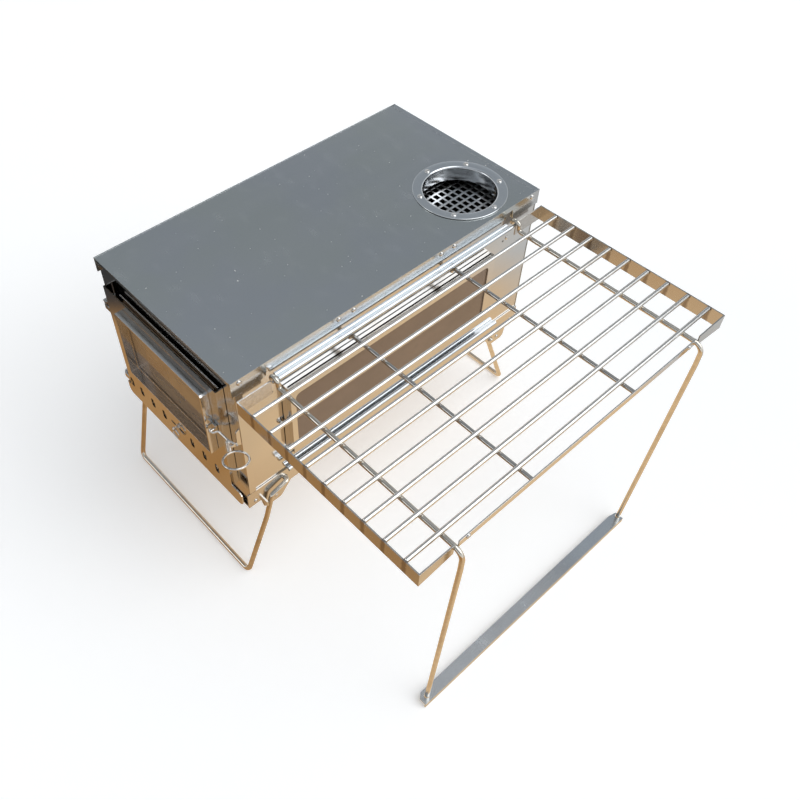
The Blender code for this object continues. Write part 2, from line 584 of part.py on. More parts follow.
def latch():
    """Bent wire lever on the collar's side: a bar across the door's edge, a coil and a pull ring."""
    x, z = LATCH_PIVOT
    clip = [(COLLAR_X[1] + GAP, z + 5), (COLLAR_X[1] + GAP, z - 5), (x + 2.4, z - 5), (x + 2.4, z + 5)]
    solid("latch_clip", prism("Y", DOOR_FACE - 2.4, DOOR_FACE - GAP, clip), STEEL,
          join=[prism("Y", LATCH_Y + 1.3, DOOR_FACE - 1.5, circle(x, z, 0.8, 8))])
    bar_end = (100.6, -4.4, TOP - 71.5)
    coil = (94.6, -6.6)
    bar = rounded([(x, LATCH_Y, z), (x + 3.8, LATCH_Y, z + 0.8), (x + 5.6, -7.0, z + 1.4),
                   (coil[0], -6.4, TOP - 70.8), bar_end],
                  [1.5, 2.0, 4.0], 2)
    ring_c, ring_r = (107.4, -9.6, TOP - 82.5), 11.1
    ring = [(ring_c[0] + ring_r * math.cos(a), ring_c[1] + ring_r * math.sin(a),
             ring_c[2] + 1.9 * math.cos(a) - 1.7 * math.sin(a))
            for a in [2 * math.pi * k / 28 for k in range(28)]]
    shapes = [
        wire(bar, 1.05, 8),
        prism("Z", TOP - 84.6, TOP - 69.9, circle(coil[0], coil[1] - 0.6, 2.1, 10)),
        wire(ring, 1.15, 8, closed=True),
    ]
    solid("latch_handle", prism("Y", LATCH_Y - 1.2, LATCH_Y + 1.0, circle(x, z, 2.2, 10)), WIRE,
          pivot=(x, LATCH_Y, z), join=shapes)
    hook = [(2.7, TOP - 58.0), (-1.0, TOP - 60.0), (-1.8, TOP - 73.4), (-6.3, TOP - 73.4),
            (-6.3, TOP - 72.9),
            (-7.5, TOP - 72.9), (-7.5, TOP - 75.2), (2.7, TOP - 79.0)]
    solid("latch_keeper", prism("X", 98.2, 99.6, hook), STEEL)


# --- legs -------------------------------------------------------------------------------------------
def leg(name, half, radii, pivot):
    """U-shaped wire leg from the path of its right half, mirrored to the left."""
    path = rounded(half + [(-x, y, z) for x, y, z in reversed(half)], radii + radii[::-1], 3)
    solid(name, wire(path, LEG_R, 10), WIRE, pivot=(0.0, *pivot), smooth=True)


def front_leg():
    """Wider leg: its ends enter the tray's flanges from outside, and a crank carries it forward."""
    outside = BODY_HALF + LEG_R + 1.7
    (foot_y, foot_half), knee = FRONT_FOOT, Vector(FRONT_KNEE)
    run = knee + (Vector((foot_y, LEG_R)) - knee).normalized() * 30.0
    half = [(95.9, *FRONT_PIVOT), (outside, *FRONT_PIVOT), (outside, *FRONT_KNEE), (outside, *run),
            (foot_half, foot_y, LEG_R)]
    leg("front_leg", half, [3.0, 4.0, 20.0, 7.0], FRONT_PIVOT)


def rear_leg():
    """Narrower leg: its ends are bent outwards through the tray's tabs from inside."""
    inside = BODY_HALF - SHEET - LEG_R - 0.6
    foot_y, foot_half = REAR_FOOT
    half = [(103.2, *REAR_PIVOT), (inside, *REAR_PIVOT), (foot_half, foot_y, LEG_R)]
    leg("rear_leg", half, [2.6, 7.0], REAR_PIVOT)


# --- rack -------------------------------------------------------------------------------------------
RACK_PIVOT = (RAIL_X[1], 0.0, UPPER_RAIL_Z)


def rack_wire(name, y, foot_y):
    """End cross wire: a hook over the hanging pin, the cross run, and the leg bent down at its far end."""
    px, pz = RAIL_X[1], UPPER_RAIL_Z
    bend = HANG_PIN_R + CROSS_R + 0.5
    hook = [(px + bend * math.cos(math.radians(a)), y, pz + bend * math.sin(math.radians(a)))
            for a in range(190, -1, -38)]
    rise = rounded([hook[-1], (px + bend, y, CROSS_Z), (px + bend + 30.0, y, CROSS_Z)], 4.0, 3)
    outer = rounded([(px + bend + 30.0, y, CROSS_Z), (RACK_ELBOW_X, y, CROSS_Z),
                     (RACK_ELBOW_X, y, CROSS_Z - 22.0),
                     (RACK_FOOT_X, foot_y, 2.0)], [9.0, 20.0], 4)
    path = [*hook[:-1], *rise[:-1], *outer]
    solid(name, wire(path, CROSS_R, 8), WIRE, pivot=(px, y, pz), smooth=True)


def rack():
    front, back = (0.3, 0.3 + SHEET), (BODY_LEN - 0.3 - SHEET, BODY_LEN - 0.3)
    z = (STRIP_LOW, RACK_TOP - 0.4)
    inner, outer = (RACK_IN - SHEET / 2, RACK_IN + SHEET / 2), (RACK_OUT - SHEET, RACK_OUT)
    reach = END_CROSS_Y[0] - CROSS_R - GAP
    for name, strip_y, near, far in (("rack_front_strip", front, front[0], reach),
                                     ("rack_rear_strip", back, END_CROSS_Y[1] + CROSS_R + GAP, back[1])):
        outline = [(inner[0], strip_y[0]), (outer[1], strip_y[0]), (outer[1], strip_y[1]),
                   (inner[0], strip_y[1])]
        corner, tip = (near, far) if strip_y is front else (far, near)
        tab = [(corner, z[0]), (corner, z[1]), (tip, z[1]), (tip, TAB_LOW)]
        arms = [box(inner, (near, far), z), prism("X", *outer, tab)]
        solid(name, prism("Z", *z, outline), STEEL, pivot=(RAIL_X[1], strip_y[0], UPPER_RAIL_Z), join=arms)
    side = (END_CROSS_Y[0] + CROSS_R + GAP, END_CROSS_Y[1] - CROSS_R - GAP)
    rivets = [rivet((RACK_OUT, y, RACK_TOP - 4.0), (1, 0, 0), r=2.0, h=1.1) for y in (49.0, 317.0)]
    solid("rack_outer_strip", box(outer, side, (OUTER_LOW, z[1])), STEEL, pivot=(RAIL_X[1], side[0], UPPER_RAIL_Z),
          join=rivets)
    for i, x in enumerate(ROD_X, 1):
        solid(f"rack_rod_{i}", wire([(x, front[1] + GAP, ROD_Z), (x, back[0] - GAP, ROD_Z)], ROD_R, 8),
              WIRE, pivot=(RAIL_X[1], front[1], UPPER_RAIL_Z), smooth=True)
    for i, y in enumerate(MID_CROSS_Y, 1):
        tip = rounded([(105.6, y, CROSS_Z - 5.5), (105.6, y, CROSS_Z), (outer[0] - GAP, y, CROSS_Z)], 3.2,
                      3)
        solid(f"rack_cross_rod_{i}", wire(tip, CROSS_R - 0.3, 8), WIRE,
              pivot=(RAIL_X[1], y, UPPER_RAIL_Z), smooth=True)
    for place, y, stand_y in zip(("front", "rear"), END_CROSS_Y, RACK_FOOT_Y):
        rack_wire(f"rack_leg_wire_{place}", y, stand_y)
    foot_y = (RACK_FOOT_Y[0] - 7.0, RACK_FOOT_Y[1] + 1.6)
    foot_x = (RACK_FOOT_X - 6.0, RACK_FOOT_X + 5.5)
    holes = [circle(RACK_FOOT_X, y, CROSS_R + 0.5, 10) for y in RACK_FOOT_Y]
    web = [(foot_x[0], foot_y[0] + 5.0), (foot_x[0] + 4.0, foot_y[0]), (foot_x[1], foot_y[0]),
           (foot_x[1], foot_y[1]),
           (foot_x[0] + 2.0, foot_y[1]), (foot_x[0], foot_y[1] - 9.0)]
    flanges = [box((foot_x[0], foot_x[0] + SHEET), (foot_y[0] + 5.0, foot_y[1] - 9.0), (0.0, 6.5)),
               box((foot_x[1] - SHEET, foot_x[1]), foot_y, (0.0, 6.5))]
    solid("rack_foot_channel", prism("Z", 5.6, 6.8, web), STEEL,
          pivot=(RAIL_X[1], foot_y[0], UPPER_RAIL_Z), join=flanges, cut=[punch("Z", 0.0, 20.0, holes)])


# --- build ------------------------------------------------------------------------------------------
base_tray()
top_plate()
back_wall()
front_frame()
flue_collar()
spark_screen()
fire_grate()
for prefix, side in (("right", 1), ("left", -1)):
    side_wall(prefix + "_wall", side)
    window(prefix, side)
    rails(prefix, side)
door()
air_control()
latch()
front_leg()
rear_leg()
rack()

# Move everything so that the origin is the bottom centre of the bounding box.
bpy.context.view_layer.update()
graph = bpy.context.evaluated_depsgraph_get()
corners = [part.matrix_world @ Vector(corner) for part in PARTS.objects
           for corner in part.evaluated_get(graph).bound_box]
shift = Vector([-(min(c[i] for c in corners) + max(c[i] for c in corners)) / 2 for i in (0, 1)] + [0.0])
for obj in (*PARTS.objects, *CUTTERS.objects):
    obj.location += shift
print("datum shift, mm:", [round(v * 1000, 3) for v in shift])
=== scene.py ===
"""Looks of the folding wood stove: finer wires, rails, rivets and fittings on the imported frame, procedural
steel and glass, and a plain pale studio.  Shapes are worked out in millimetres in the stove's own frame
(x = 0 on its centre plane, y = 0 at the front edge of the top plate, z = 0 on the ground)."""

import math
import random

import bmesh
import bpy
from mathutils import Matrix, Vector


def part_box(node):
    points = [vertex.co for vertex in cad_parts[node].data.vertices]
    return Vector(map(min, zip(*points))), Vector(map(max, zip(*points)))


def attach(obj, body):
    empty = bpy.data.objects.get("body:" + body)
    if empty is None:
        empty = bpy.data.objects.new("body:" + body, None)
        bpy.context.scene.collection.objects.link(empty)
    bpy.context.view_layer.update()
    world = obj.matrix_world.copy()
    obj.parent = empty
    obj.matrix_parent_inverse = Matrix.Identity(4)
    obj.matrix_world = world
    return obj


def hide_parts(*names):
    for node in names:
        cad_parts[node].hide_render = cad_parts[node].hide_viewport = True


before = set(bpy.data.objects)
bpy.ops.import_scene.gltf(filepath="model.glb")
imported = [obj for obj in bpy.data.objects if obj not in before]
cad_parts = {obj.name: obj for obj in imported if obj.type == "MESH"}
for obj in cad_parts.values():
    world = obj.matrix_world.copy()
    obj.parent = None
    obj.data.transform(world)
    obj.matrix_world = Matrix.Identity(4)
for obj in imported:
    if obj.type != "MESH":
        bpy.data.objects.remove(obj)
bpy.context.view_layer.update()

MM = 0.001
random.seed(7)

# --- the stove's frame and its driving dimensions, mm -----------------------------------------------
plate_low, plate_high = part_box("top_plate")
TO_FRAME = Matrix.Translation(((plate_low.x + plate_high.x) / 2, plate_low.y, 0.0)) @ Matrix.Scale(MM, 4)

SHEET = 1.2
TOP = 285.0
BODY_HALF, BODY_LEN = 100.0, 369.0
FLOOR = TOP - 175.0
FLUE = (50.0, 311.0)
FLUE_R, FLUE_DEPTH = 35.5, 14.0
FLANGE_R, FLANGE_RIVET_R = 45.5, 40.5
FLANGE_Z = (TOP + 0.3, TOP + 1.3)
RAIL_R = 2.3
RAIL_X, LOWER_RAIL_X = (102.5, 107.6), (102.5, 109.4)
RAIL_Y = (41.0, 321.0)
UPPER_RAIL_Z, LOWER_RAIL_Z = TOP - 17.2, TOP - 141.0
HANG_PIN_R, HANG_PIN_Y = 1.5, (34.5, 331.5)    # Y of the far tips of the front and the rear pin
DOOR_FACE = -5.0
KNOB = (0.0, DOOR_FACE - 3.6, TOP - 143.8)
LATCH = (75.8, -11.4, TOP - 71.5)
LEG_R = 2.5
FRONT_PIVOT, FRONT_KNEE = (43.0, TOP - 165.5), (23.4, TOP - 171.5)   # (y, z)
REAR_PIVOT = (331.0, FLOOR - 6.5)
FRONT_FOOT, REAR_FOOT = (-10.5, 97.0), (375.5, 92.0)    # foot bar y, half width
RACK_TOP, RACK_OUT = TOP - 15.6, 307.8
ROD_R, CROSS_R = 2.0, 2.2
ROD_Z = RACK_TOP - ROD_R
CROSS_Z = ROD_Z - ROD_R - CROSS_R - 0.15
ROD_X = [125.0 + 21.0 * i for i in range(9)]
END_CROSS_Y, MID_CROSS_Y = (37.0, 329.0), (120.0, 245.0)
RACK_ELBOW_X, RACK_FOOT_X = RACK_OUT + 6.5, 309.0
RACK_FOOT_Y = (31.0, 317.0)
STRIP_SETBACK = 0.3     # of the rack's end strips behind the body's front and back

# Centres of the rivets along each seam.
TOP_RIVET_Y = (8.6, 112.6, 129.4, 235.0, 251.5, 358.5)
BACK_RIVET_X = (-68.0, 70.0)
TRAY_RIVET_YZ = ((8.0, FLOOR + 5.0), (31.0, FLOOR - 9.0), (342.0, FLOOR - 9.0), (361.0, FLOOR + 5.0))
WALL_RIVET_YZ = ((35.0, TOP - 31.5), (324.0, TOP - 29.0), (331.0, TOP - 39.5))
RACK_RIVET_Y = (49.0, 317.0)


# --- shapes, each added to a bmesh in millimetres ---------------------------------------------------
def rounded(points, radii, steps=9):
    """The polyline with each inner corner replaced by an arc of its radius."""
    points = [Vector(p) for p in points]
    path = [points[0]]
    for before, corner, after, r in zip(points, points[1:], points[2:], radii):
        a, b = (before - corner).normalized(), (after - corner).normalized()
        half = a.angle(b) / 2
        if half > math.radians(89):
            path.append(corner)
            continue
        centre = corner + (a + b).normalized() * (r / math.sin(half))
        start = corner + a * (r / math.tan(half)) - centre
        end = corner + b * (r / math.tan(half)) - centre
        sweep = start.angle(end)
        for k in range(steps + 1):
            t = k / steps
            arm = start * math.sin((1 - t) * sweep) + end * math.sin(t * sweep)
            path.append(centre + arm / math.sin(sweep))
    return path + [points[-1]]


def around(count):
    """Angles of equal steps round a full turn."""
    return [2 * math.pi * k / count for k in range(count)]


def add_ring(bm, centre, side, other, radius, sides):
    return [bm.verts.new(centre + side * (radius * math.cos(a)) + other * (radius * math.sin(a)))
            for a in around(sides)]


def skin(bm, rings, closed=False):
    """Quads between neighbouring rings of vertices."""
    for a, b in list(zip(rings, rings[1:])) + ([(rings[-1], rings[0])] if closed else []):
        for k in range(len(a)):
            bm.faces.new((a[k], a[(k + 1) % len(a)], b[(k + 1) % len(b)], b[k]))


def add_wire(bm, path, r, sides=18, closed=False):
    """Drawn round wire along a path, its cut ends slightly rounded."""
    path = [Vector(p) for p in path]
    steps = [(b - a).normalized() for a, b in zip(path, path[1:] + path[:1])]
    if closed:
        tangents = [(steps[i - 1] + steps[i]).normalized() for i in range(len(path))]
    else:
        steps[-1] = steps[-2]
        tangents = [steps[0]] + [(a + b).normalized() for a, b in zip(steps, steps[1:-1])] + [steps[-1]]
    side = tangents[0].orthogonal().normalized()
    frames = []
    for i, tangent in enumerate(tangents):
        if i:
            side = tangents[i - 1].rotation_difference(tangent) @ side
        side = (side - tangent * side.dot(tangent)).normalized()
        frames.append((side.copy(), tangent.cross(side)))
    rings = [add_ring(bm, point, *frames[i], r, sides) for i, point in enumerate(path)]
    if not closed:
        inset = 0.3 * r
        first = add_ring(bm, path[0], *frames[0], r - inset, sides)
        last = add_ring(bm, path[-1], *frames[-1], r - inset, sides)
        for vert in rings[0]:
            vert.co += tangents[0] * inset
        for vert in rings[-1]:
            vert.co -= tangents[-1] * inset
        rings = [first, *rings, last]
        bm.faces.new(list(reversed(first)))
        bm.faces.new(last)
    skin(bm, rings, closed)


def add_turned(bm, profile, centre, axis, segments=24):
    """Profile of (radius, height) turned about an axis; it closes where the radius is nought."""
    axis = Vector(axis).normalized()
    side = axis.orthogonal().normalized()
    other = axis.cross(side)
    rings = []
    for radius, height in profile:
        rings.append(add_ring(bm, Vector(centre) + axis * height, side, other, max(radius, 1e-3), segments))
    skin(bm, rings)
    bm.faces.new(list(reversed(rings[0])))
    bm.faces.new(rings[-1])


def add_rivet(bm, centre, normal, r, h):
    """Blind rivet head: a rolled rim, a low dome and the sunk end of its mandrel."""
    sunk = 0.2
    rim = 0.22 * h
    dome = [(r * math.cos(a), rim + 0.78 * h * math.sin(a)) for a in [math.pi * k / 14 for k in range(6)]]
    mandrel = ((0.42, 0.98), (0.36, 0.72), (0.30, 0.70), (0.12, 0.80), (0.0, 0.82))   # shares of r and h
    add_turned(bm, [(r, -sunk), *dome, *[(u * r, v * h) for u, v in mandrel]], centre, normal)


def add_prism(bm, axis, lo, hi, outline):
    """Straight prism of a (u, v) outline along X, Y or Z."""
    def spot(u, v, w):
        return {"X": (w, u, v), "Y": (u, w, v), "Z": (u, v, w)}[axis]
    ends = [[bm.verts.new(spot(u, v, w)) for u, v in outline] for w in (lo, hi)]
    bm.faces.new(ends[0])
    bm.faces.new(ends[1])
    skin(bm, ends)


# --- materials --------------------------------------------------------------------------------------
class Finish:
    """One material and short names for the nodes that its patterns use, in the object's own space."""

    def __init__(self, name):
        self.material = bpy.data.materials.new(name)
        self.material.use_nodes = True
        self.nodes, self.links = self.material.node_tree.nodes, self.material.node_tree.links
        self.shader = self.nodes["Principled BSDF"]
        self.space = self.nodes.new("ShaderNodeTexCoord").outputs["Object"]

    def put(self, value, socket):
        if isinstance(value, bpy.types.NodeSocket):
            self.links.new(value, socket)
        else:
            socket.default_value = value

    def set(self, **values):
        for name, value in values.items():
            self.put(value, self.shader.inputs[name.replace("_", " ")])

    def noise(self, scale, stretch=(1, 1, 1), detail=3.0, seed=0.0):
        mapping = self.nodes.new("ShaderNodeMapping")
        mapping.inputs["Scale"].default_value = stretch
        mapping.inputs["Location"].default_value = (seed, 0.7 * seed, 1.3 * seed)
        self.links.new(self.space, mapping.inputs["Vector"])
        noise = self.nodes.new("ShaderNodeTexNoise")
        noise.inputs["Scale"].default_value = scale
        noise.inputs["Detail"].default_value = detail
        self.links.new(mapping.outputs["Vector"], noise.inputs["Vector"])
        return noise.outputs["Fac"]

    def math(self, operation, a, b=0.0):
        node = self.nodes.new("ShaderNodeMath")
        node.operation = operation
        self.put(a, node.inputs[0])
        self.put(b, node.inputs[1])
        return node.outputs[0]

    def span(self, value, low, high, to_low=0.0, to_high=1.0):
        """The value's range low..high carried to another range, smoothly at both ends."""
        node = self.nodes.new("ShaderNodeMapRange")
        node.interpolation_type = "SMOOTHSTEP"
        for socket, number in zip(list(node.inputs)[:5], (value, low, high, to_low, to_high)):
            self.put(number, socket)
        return node.outputs["Result"]

    def mix(self, factor, a, b):
        node = self.nodes.new("ShaderNodeMix")
        node.data_type = "RGBA"
        self.put(factor, node.inputs["Factor"])
        for colour, socket in ((a, node.inputs[6]), (b, node.inputs[7])):
            self.put((*colour, 1.0) if isinstance(colour, tuple) else colour, socket)
        return node.outputs[2]

    def axis(self, index):
        split = self.nodes.new("ShaderNodeSeparateXYZ")
        self.links.new(self.space, split.inputs[0])
        return split.outputs[index]

    def bump(self, height, distance):
        node = self.nodes.new("ShaderNodeBump")
        node.inputs["Distance"].default_value = distance
        node.inputs["Strength"].default_value = 1.0
        self.links.new(height, node.inputs["Height"])
        self.links.new(node.outputs["Normal"], self.shader.inputs["Normal"])


def sheet_steel(name, cool, warm, rough, grain, dust=0.0, heat=None, wave=0.0010):
    """Rolled stainless sheet: faint clouds between two tints, rolling grain, smears and, where asked for,
    settled dust and heat marks.  The wave is how far the sheet bulges, in metres."""
    made = Finish(name)
    clouds = made.span(made.noise(11.0, detail=4.0), 0.36, 0.64)
    colour = made.mix(clouds, cool, warm)
    streaks = made.noise(34.0, grain, detail=5.0, seed=2.0)
    colour = made.mix(made.span(streaks, 0.3, 0.7, 0.0, 0.22), colour, tuple(0.86 * c for c in cool))
    smears = made.span(made.noise(46.0, (1.0, 1.6, 1.0), detail=5.0, seed=5.0), 0.52, 0.74)
    roughness = made.math("ADD", made.span(streaks, 0.25, 0.75, rough - 0.03, rough + 0.04),
                          made.math("MULTIPLY", smears, 0.06))
    if dust:
        specks = made.span(made.noise(330.0, detail=1.0, seed=9.0), 0.79 - dust, 0.83 - dust)
        colour = made.mix(specks, colour, (0.93, 0.93, 0.90))
        roughness = made.math("ADD", roughness, made.math("MULTIPLY", specks, 0.45))
    if heat:
        colour = made.mix(heat(made), colour, (0.16, 0.12, 0.10))
    made.set(Base_Color=colour, Metallic=1.0, Roughness=roughness)
    bulges = made.noise(5.5, detail=1.0, seed=4.0)
    made.bump(made.math("ADD", bulges, made.math("MULTIPLY", streaks, 0.004)), wave)
    return made.material


def weld_heat(made):
    """Heat marks on the rack's strips, one behind the end of each rod."""
    pitch = (ROD_X[1] - ROD_X[0]) * MM
    first = (TO_FRAME @ Vector((ROD_X[0], 0.0, 0.0))).x
    turns = made.math("DIVIDE", made.math("SUBTRACT", made.axis(0), first), pitch)
    phase = made.math("FRACT", made.math("ADD", turns, 100.5))
    off = made.math("ABSOLUTE", made.math("SUBTRACT", phase, 0.5))
    wobble = made.math("MULTIPLY", made.noise(420.0, detail=3.0, seed=3.0), 0.10)
    return made.span(made.math("ADD", off, wobble), 0.09, 0.20, 0.62, 0.0)


def wire_steel(name, shade, rough):
    """Drawn stainless wire: bright, with draw lines, handling marks and a few duller patches."""
    made = Finish(name)
    marks = made.noise(160.0, detail=4.0)
    dull = made.span(made.noise(28.0, detail=2.0, seed=3.0), 0.55, 0.75)
    colour = made.mix(made.span(marks, 0.3, 0.7), shade, tuple(0.88 * c for c in shade))
    colour = made.mix(made.math("MULTIPLY", dull, 0.35), colour, (0.50, 0.45, 0.38))
    made.set(Base_Color=colour, Metallic=1.0,
             Roughness=made.math("ADD", made.span(marks, 0.2, 0.8, rough - 0.03, rough + 0.05),
                                 made.math("MULTIPLY", dull, 0.08)))
    made.bump(made.noise(900.0, detail=2.0, seed=1.0), 0.00002)
    return made.material


def sooted_steel(name, clean, soot, amount):
    """Steel above the fire: heat-browned, with dry soot in patches."""
    made = Finish(name)
    patches = made.span(made.noise(38.0, detail=6.0), 0.62 - 0.3 * amount, 0.78 - 0.3 * amount)
    made.set(Base_Color=made.mix(patches, clean, soot), Metallic=made.span(patches, 0.0, 1.0, 1.0, 0.25),
             Roughness=made.span(patches, 0.0, 1.0, 0.28, 0.72))
    made.bump(made.noise(500.0, detail=4.0), 0.00006)
    return made.material


def weld_steel(name):
    """Blued and browned weld metal with fine ripples."""
    made = Finish(name)
    browned = made.span(made.noise(300.0, detail=3.0), 0.35, 0.65)
    ripples = made.noise(700.0, seed=4.0)
    made.set(Base_Color=made.mix(browned, (0.52, 0.50, 0.47), (0.30, 0.25, 0.21)), Metallic=1.0,
             Roughness=made.span(ripples, 0.3, 0.7, 0.22, 0.42))
    made.bump(made.noise(1400.0, detail=2.0), 0.0001)
    return made.material


def fire_glass(name, pale_shade, deep_shade):
    """Fire glass made nearly opaque: its brown colour is painted shade standing in for the dim firebox behind
    it, darker in soft clouds, with grime.
    """
    made = Finish(name)
    shade_clouds = made.span(made.noise(16.0, (1.0, 1.0, 1.7), detail=4.0), 0.30, 0.72)
    grime = made.span(made.noise(120.0, detail=4.0, seed=6.0), 0.55, 0.8)
    # painted shade: the brown mixed here stands in for the dim firebox seen through the glass, darker in soft
    # clouds
    colour = made.mix(shade_clouds, pale_shade, deep_shade)
    made.set(Base_Color=made.mix(made.math("MULTIPLY", grime, 0.25), colour, (0.12, 0.09, 0.065)),
             Roughness=made.math("ADD", made.math("MULTIPLY", grime, 0.10), 0.03),
             Transmission_Weight=made.span(shade_clouds, 0.0, 1.0, 0.05, 0.02), IOR=1.54, Coat_Weight=0.25)
    made.bump(made.noise(7.0, detail=1.0, seed=2.0), 0.0006)
    return made.material


COOL, WARM = (0.595, 0.615, 0.640), (0.600, 0.625, 0.615)
PALE, CREAM = (0.70, 0.70, 0.70), (0.73, 0.71, 0.68)
FINISHES = {
    "plate": sheet_steel("rolled_steel_plate", COOL, WARM, 0.21, (1.0, 0.06, 1.0), dust=0.02),
    "wall": sheet_steel("rolled_steel_wall", PALE, CREAM, 0.13, (1.0, 0.05, 1.0)),
    "front": sheet_steel("rolled_steel_front", PALE, CREAM, 0.12, (0.05, 1.0, 1.0), wave=0.0006),
    "collar": sheet_steel("rolled_steel_collar", (0.70, 0.73, 0.76), (0.74, 0.76, 0.78), 0.17,
                          (1.0, 0.06, 1.0)),
    "strip": sheet_steel("rolled_steel_strip", (0.60, 0.59, 0.57), (0.64, 0.61, 0.57), 0.16, (0.07, 1.0, 1.0),
                         heat=weld_heat, wave=0.0005),
    "foot": sheet_steel("rolled_steel_foot", (0.60, 0.64, 0.68), (0.66, 0.70, 0.73), 0.20,
                        (1.0, 0.06, 1.0), wave=0.0003),
    "bright": sheet_steel("polished_steel", CREAM, PALE, 0.09, (1.0, 1.0, 0.1)),
    "rail": sheet_steel("rolled_steel_rail", (0.56, 0.60, 0.64), (0.66, 0.69, 0.72), 0.11, (1.0, 0.05, 1.0)),
    "wire": wire_steel("drawn_wire", (0.74, 0.73, 0.71), 0.12),
    "leg": wire_steel("drawn_leg_wire", (0.74, 0.70, 0.63), 0.15),
    "cross": wire_steel("drawn_cross_wire", (0.56, 0.55, 0.53), 0.17),
    "soot": sooted_steel("sooted_grate", (0.40, 0.36, 0.32), (0.035, 0.032, 0.030), 0.8),
    "screen": sooted_steel("sooted_screen", (0.66, 0.67, 0.68), (0.08, 0.08, 0.08), 0.10),
    "weld": weld_steel("weld_metal"),
    # painted shade: the browns of both glasses stand in for the dim firebox seen through the windows
    "glass": fire_glass("door_glass_painted_shade", (0.25, 0.155, 0.080), (0.19, 0.115, 0.062)),
    "side_glass": fire_glass("side_glass_painted_shade", (0.18, 0.120, 0.088), (0.145, 0.098, 0.074)),
}


# --- pieces -----------------------------------------------------------------------------------------
def piece(name, fill, body, finish, stands_for=(), sharp=38.0):
    """A shown piece in metres, riding on a body, with its finish and the CAD nodes that it stands for."""
    bm = bmesh.new()
    fill(bm)
    bmesh.ops.remove_doubles(bm, verts=bm.verts, dist=0.002)
    bmesh.ops.recalc_face_normals(bm, faces=bm.faces)
    bm.transform(TO_FRAME)
    mesh = bpy.data.meshes.new(name)
    bm.to_mesh(mesh)
    bm.free()
    for face in mesh.polygons:
        face.use_smooth = True
    mesh.set_sharp_from_angle(angle=math.radians(sharp))
    mesh.materials.append(FINISHES[finish])
    obj = bpy.data.objects.new(name, mesh)
    bpy.context.scene.collection.objects.link(obj)
    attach(obj, body)
    if stands_for:
        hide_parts(*stands_for)
    return obj


def dress(node, finish, edge):
    """Give a carried-over CAD node its finish, and round its sharp folds and cut edges by edge, in mm."""
    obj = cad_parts[node]
    obj.data.materials.clear()
    obj.data.materials.append(FINISHES[finish])
    if "custom_normal" in obj.data.attributes:
        obj.data.attributes.remove(obj.data.attributes["custom_normal"])
    for face in obj.data.polygons:
        face.use_smooth = True
    weld = obj.modifiers.new("weld", "WELD")
    weld.merge_threshold = 1e-6
    flats = obj.modifiers.new("flats", "DECIMATE")
    flats.decimate_type = "DISSOLVE"
    flats.angle_limit = math.radians(0.5)
    bevel = obj.modifiers.new("edges", "BEVEL")
    bevel.width = edge * MM
    bevel.segments = 2
    bevel.limit_method = "ANGLE"
    bevel.angle_limit = math.radians(40.0)
    bevel.harden_normals = True
    bevel.use_clamp_overlap = True


# For each finish, the CAD nodes that wear it and how far their edges are rounded, mm.
DRESS = {
    "plate": (("top_plate", 0.45), ("back_wall", 0.35)),
    "wall": (("left_wall", 0.3), ("right_wall", 0.3), ("base_tray", 0.3), ("left_window_frame", 0.35),
             ("right_window_frame", 0.35)),
    "front": (("front_frame", 0.3), ("door_panel", 0.3), ("door_window_collar", 0.4),
              ("door_glass_retainer", 0.2), ("air_slider", 0.2)),
    "strip": (("rack_front_strip", 0.35), ("rack_rear_strip", 0.35)),
    "bright": (("rack_outer_strip", 0.35), ("latch_clip", 0.2), ("latch_keeper", 0.3),
               ("left_window_button_front", 0.25), ("left_window_button_rear", 0.25),
               ("right_window_button_front", 0.25), ("right_window_button_rear", 0.25),
               ("door_hinge_pin_upper", 0.2), ("door_hinge_pin_lower", 0.2)),
    "foot": (("rack_foot_channel", 0.35),),
    "soot": (("fire_grate", 0.2),),
    "screen": (("spark_screen", 0.2),),
    "glass": (("door_glass", 0.3),),
    "side_glass": (("left_window_glass", 0.3), ("right_window_glass", 0.3)),
}


def rail_outline(xs, z, bridge):
    """Two round rolls joined by a web, as one outline in (x, z); bridge is half the web's angle on a roll."""
    steps = 26
    outline = []
    for centre, start in ((xs[0], 0.0), (xs[1], math.pi)):
        for k in range(steps + 1):
            angle = start + bridge + (2 * math.pi - 2 * bridge) * k / steps
            outline.append((centre + RAIL_R * math.cos(angle), z + RAIL_R * math.sin(angle)))
    return outline


def rails(prefix, side):
    """Rolled rails of one side; the upper one carries the rack's hanging pins."""
    set_in = 3.0
    pins = ((HANG_PIN_Y[0], RAIL_Y[0] + set_in), (RAIL_Y[1] - set_in, HANG_PIN_Y[1]))

    def upper(bm):
        add_prism(bm, "Y", *RAIL_Y, [(side * x, z) for x, z in rail_outline(RAIL_X, UPPER_RAIL_Z, 0.35)])
        for ends in pins:
            add_wire(bm, [(side * RAIL_X[1], y, UPPER_RAIL_Z) for y in ends], HANG_PIN_R)

    def lower(bm):
        add_prism(bm, "Y", *RAIL_Y, [(side * x, z) for x, z in rail_outline(LOWER_RAIL_X, LOWER_RAIL_Z, 0.3)])

    piece(f"{prefix}_upper_rail_roll", upper, "stove_body", "rail", [f"{prefix}_upper_rail"])
    piece(f"{prefix}_lower_rail_roll", lower, "stove_body", "rail", [f"{prefix}_lower_rail"])


